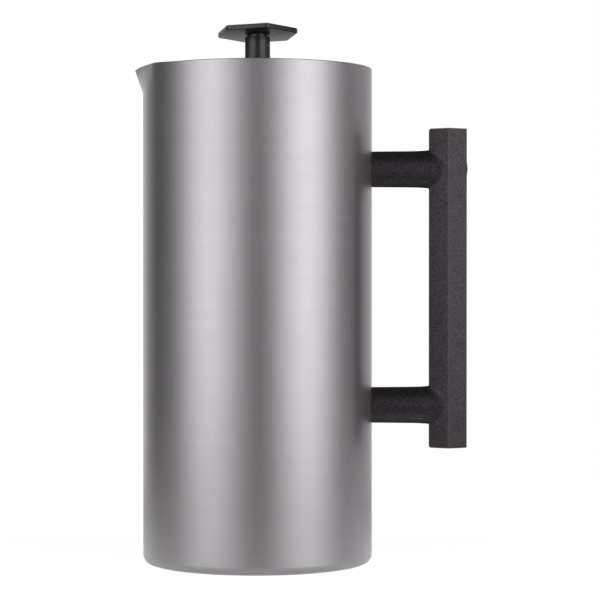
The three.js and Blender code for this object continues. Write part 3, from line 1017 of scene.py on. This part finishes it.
def filter_spring(finish):
    """A fine coil bent into a closed circle."""
    coil = COIL_RADIUS - SPRING_WIRE
    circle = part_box("filter_spring")[1].x - COIL_RADIUS
    height = middle_height("filter_spring")
    count = SPRING_TURNS * SPRING_STEPS
    around = even_turns(count)
    turn = around * SPRING_TURNS
    outward = np.stack([np.cos(around), np.sin(around), np.zeros(count)], 1)
    forward = np.stack([-np.sin(around), np.cos(around), np.zeros(count)], 1)
    up = np.array([0.0, 0.0, 1.0])
    swing = np.cos(turn)[:, None] * outward + np.sin(turn)[:, None] * up
    path = (circle + coil * np.cos(turn))[:, None] * outward
    path += (height + coil * np.sin(turn))[:, None] * up
    along = (coil * SPRING_TURNS * (np.cos(turn)[:, None] * up - np.sin(turn)[:, None] * outward)
             + circle * forward)
    along /= np.linalg.norm(along, axis=1)[:, None]
    side = np.cross(along, swing)
    bend = even_turns(WIRE_SIDES)
    points = (path[:, None] + SPRING_WIRE * (np.cos(bend)[:, None] * swing[:, None]
                                             + np.sin(bend)[:, None] * side[:, None]))
    obj = from_rings("ring_spring", points)
    add(obj, "plunger", finish, "filter_spring")


def filter_mesh(finish):
    low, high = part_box("filter_mesh")
    radius = high.y
    inside = radius - MESH_WALL
    top = low.z + MESH_WALL
    obj = revolve("wire_screen", rounded([
        (ROD_BORE, low.z, 0), (radius, low.z, 0.9 * MM), (radius, high.z, 0.25 * MM),
        (inside, high.z, 0.25 * MM), (inside, top, 0.4 * MM), (ROD_BORE, top, 0)]),
        even_turns(POT_SIDES))
    add(obj, "plunger", finish, "filter_mesh")


def cross_plate(finish):
    low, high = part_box("cross_plate")
    radius = high.y
    disc = revolve("cross", rounded([
        (ROD_BORE, low.z, 0.2 * MM), (radius, low.z, 0.4 * MM), (radius, high.z, 0.4 * MM),
        (ROD_BORE, high.z, 0.2 * MM)]), even_turns(POT_SIDES))
    outer_side = arc(0, 0, radius - WINDOW_RIM, -WINDOW_ANGLE / 2, WINDOW_ANGLE / 2, WINDOW_STEPS)
    inner_side = arc(0, 0, WINDOW_INNER, WINDOW_ANGLE / 2, -WINDOW_ANGLE / 2, WINDOW_STEPS)
    window = extruded("windows", outer_side + inner_side, low.z - WALL, high.z + WALL)
    corners = [side[end] for side in (outer_side, inner_side) for end in (0, -1)]
    bevelled(window, WINDOW_ROUNDING, 5, lambda edge: upright(edge) and any(
        (Vector(corner) - edge.verts[0].co.xy).length < 1e-6 for corner in corners))
    disc = cut(disc, placed_round(window, 0, even_turns(WINDOWS)))
    add(disc, "plunger", finish, "cross_plate")


def filter_nut(finish):
    nut = hex_nut("end_nut", "filter_nut", ROD_BORE)
    add(nut, "plunger", finish, "filter_nut")


# ---------------------------------------------------------------- stage

CAMERA_DISTANCE = 1.03
CAMERA_AZIMUTH = radians(2.5)
CAMERA_HEIGHT = 0.1311
CAMERA_TURN = radians(1.116)
CAMERA_PITCH = radians(0.405)
CAMERA_LENS = 130.63
CAMERA_SENSOR = 36


def camera():
    """The photo's viewpoint."""
    data = bpy.data.cameras.new("camera")
    data.lens = CAMERA_LENS
    data.sensor_width = CAMERA_SENSOR
    obj = bpy.data.objects.new("camera", data)
    obj.location = (CAMERA_DISTANCE * sin(CAMERA_AZIMUTH),
                    -CAMERA_DISTANCE * cos(CAMERA_AZIMUTH), CAMERA_HEIGHT)
    obj.rotation_euler = (pi / 2 - CAMERA_PITCH, 0, CAMERA_AZIMUTH - CAMERA_TURN)
    bpy.context.scene.collection.objects.link(obj)
    bpy.context.scene.camera = obj


# The studio's soft lights: the direction of the middle, how far the glow reaches to each side, and
# the strength. Directions are in degrees round the object from the front, and towards the handle
# where positive.
LEFT_LIGHT = (-46, 51, 1.6)
LEFT_SPILL = (-93, 20, 0.1)
RIGHT_LIGHT = (52, 50, 1.83)
RIGHT_SPILL = (98, 20, 0.1)
SIDE_WALL = (128, 34, 0.32)
BACK_WALL = (-174, 58, 1.12)
STUDIO_FILL = 0.04
STUDIO_TOP = 0.08
STUDIO_TOP_EDGE = (20, 55)
STUDIO_LOW = 0.6
STUDIO_LOW_EDGE = (15, 45)


def glow(n, azimuth, direction, reach, strength):
    """One soft light: brightest at its middle and gone past its reach."""
    away = n.math("WRAP", n.math("SUBTRACT", azimuth, radians(direction)), pi, -pi)
    return n.span(n.math("ABSOLUTE", away), strength, 0, 0, radians(reach), "SMOOTHSTEP")


def studio():
    """A soft tent with two tall lights in front and a pale wall behind, white to the camera."""
    world = bpy.data.worlds.new("studio")
    bpy.context.scene.world = world
    n = Nodes(world)
    x, y, z = n.axes("Generated")
    azimuth = n.math("ARCTAN2", x, n.math("MULTIPLY", y, -1.0))
    around = STUDIO_FILL
    for light in (LEFT_LIGHT, LEFT_SPILL, RIGHT_LIGHT, RIGHT_SPILL, SIDE_WALL, BACK_WALL):
        around = n.math("ADD", around, glow(n, azimuth, *light))
    high = n.span(z, 0, 1, *(sin(radians(edge)) for edge in STUDIO_TOP_EDGE))
    low = n.span(z, 0, 1, *(-sin(radians(edge)) for edge in STUDIO_LOW_EDGE))
    level = n.fade(low, n.fade(high, around, STUDIO_TOP), STUDIO_LOW)
    path = n.make("ShaderNodeLightPath")
    seen = path.outputs["Is Camera Ray"]
    background = n.make("ShaderNodeBackground")
    background.inputs["Color"].default_value = (1, 1, 1, 1)
    n.plug(n.fade(seen, level, 1.0), background.inputs["Strength"])
    output = n.make("ShaderNodeOutputWorld")
    n.plug(background.outputs[0], output.inputs["Surface"])


FLOOR_RADIUS = 0.45
FLOOR_THICKNESS = 1.9 * MM
FLOOR_DROP = 0.1 * MM
FLOOR_ROUGHNESS = 0.25
FLOOR_COLOR = 0.55
FLOOR_WHITE = 0.85
# How strongly the floor glows white in reflections, a painted pool of light: dim in front of the
# pot, bright behind it, and fading out away from it.
FLOOR_FRONT = 0.25
FLOOR_BACK = 0.8
FLOOR_TURN = (-0.07, 0.03)
FLOOR_FAR = 0.3
FLOOR_FADE = (0.07, 0.2)


def floor():
    """A pale glossy disc that reads white but keeps the object's soft shadow; in reflections it
    glows with a painted pool of light, brighter behind the pot and near it than in front and far
    off.
    """
    disc = rod("floor", FLOOR_RADIUS, -FLOOR_DROP - FLOOR_THICKNESS, -FLOOR_DROP, SMALL_SIDES)
    finish = bpy.data.materials.new("floor")
    n = Nodes(finish)
    paper = n.make("ShaderNodeBsdfDiffuse")
    paper.inputs["Color"].default_value = (FLOOR_COLOR,) * 3 + (1,)
    white = n.make("ShaderNodeEmission")
    white.inputs["Strength"].default_value = FLOOR_WHITE
    shown = n.make("ShaderNodeAddShader")
    n.plug(paper.outputs[0], shown.inputs[0])
    n.plug(white.outputs[0], shown.inputs[1])
    acrylic = n.make("ShaderNodeBsdfPrincipled")
    acrylic.inputs["Base Color"].default_value = (FLOOR_COLOR,) * 3 + (1,)
    acrylic.inputs["Roughness"].default_value = FLOOR_ROUGHNESS
    path = n.make("ShaderNodeLightPath")
    mirrored = n.math("MAXIMUM", path.outputs["Is Glossy Ray"],
                      path.outputs["Is Transmission Ray"])
    x, y = n.axes()[:2]
    # Painted light: in reflections the floor partly glows white, more behind the pot and close to
    # it.
    painted_glow = n.math("MULTIPLY", n.span(y, FLOOR_FRONT, FLOOR_BACK, *FLOOR_TURN),
                 n.span(n.off_axis(x, y), 1, FLOOR_FAR, *FLOOR_FADE))
    seen = n.math("MAXIMUM", path.outputs["Is Camera Ray"], n.math("MULTIPLY", mirrored, painted_glow))
    choice = n.make("ShaderNodeMixShader")
    n.plug(seen, choice.inputs[0])
    n.plug(acrylic.outputs[0], choice.inputs[1])
    n.plug(shown.outputs[0], choice.inputs[2])
    output = n.make("ShaderNodeOutputMaterial")
    n.plug(choice.outputs[0], output.inputs["Surface"])
    dress(disc, finish)


# ---------------------------------------------------------------- assembly

satin = brushed_round("satin_steel")
inside_steel = brushed_round("vessel_satin", INNER_STEEL, (0.28, 0.7))
ringed = brushed_flat("ringed_steel", INNER_STEEL)
spun = brushed_flat("spun_steel")
# The grip's edges get a painted highlight; the plugs' highlight colour is their own black, so they
# show none.
grip_nylon = nylon("grained_nylon", 0.06)
plug_nylon = nylon("plug_nylon", HANDLE_BLACK[0])
satin_black = knob_satin("satin_black")
lid_black = grained_black("lid_nylon", LID_BLACK, (0.42, 0.5), grain=0.3, depth=0.015 * MM,
                          speckle=0.1)[0]
silicone = grained_black("silicone", SEAL_GREY, (0.6, 0.7), grain=0.2, depth=0.01 * MM,
                         speckle=0.08, scale=900)[0]
fastener = bright_metal("fastener_steel", (0.55, 0.55, 0.56), (0.2, 0.3))
polished = bright_metal("polished_steel", (0.7, 0.7, 0.71), (0.06, 0.12))
stamped = bright_metal("stamped_steel", (0.62, 0.62, 0.63), (0.2, 0.28))
wire = bright_metal("spring_wire", (0.65, 0.65, 0.66), (0.12, 0.18))
brass = bright_metal("brass", (0.72, 0.55, 0.28), (0.22, 0.3))
cloth = woven("wire_cloth", (0.5, 0.5, 0.5))

shell(satin)
vessel(inside_steel)
base_pan(spun)
handle(grip_nylon)
handle_plugs(plug_nylon)
lid_cap(ringed)
lid_bush(lid_black)
lid_strainer(lid_black)
lid_nut(fastener)
lid_seal(silicone)
knob_stem(satin_black)
knob_plate(satin_black)
plunger_rod(polished)
rod_collar(polished)
spiral_plate(stamped)
filter_spring(wire)
filter_mesh(cloth)
cross_plate(stamped)
filter_nut(polished)

for side in SIDES:
    for fixing in ("boss", "screw", "washer"):
        dress(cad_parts[f"handle_{fixing}_{side}"], fastener)
dress(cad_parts["knob_insert"], brass)

floor()
studio()
camera()
bpy.context.scene.view_settings.view_transform = "Standard"
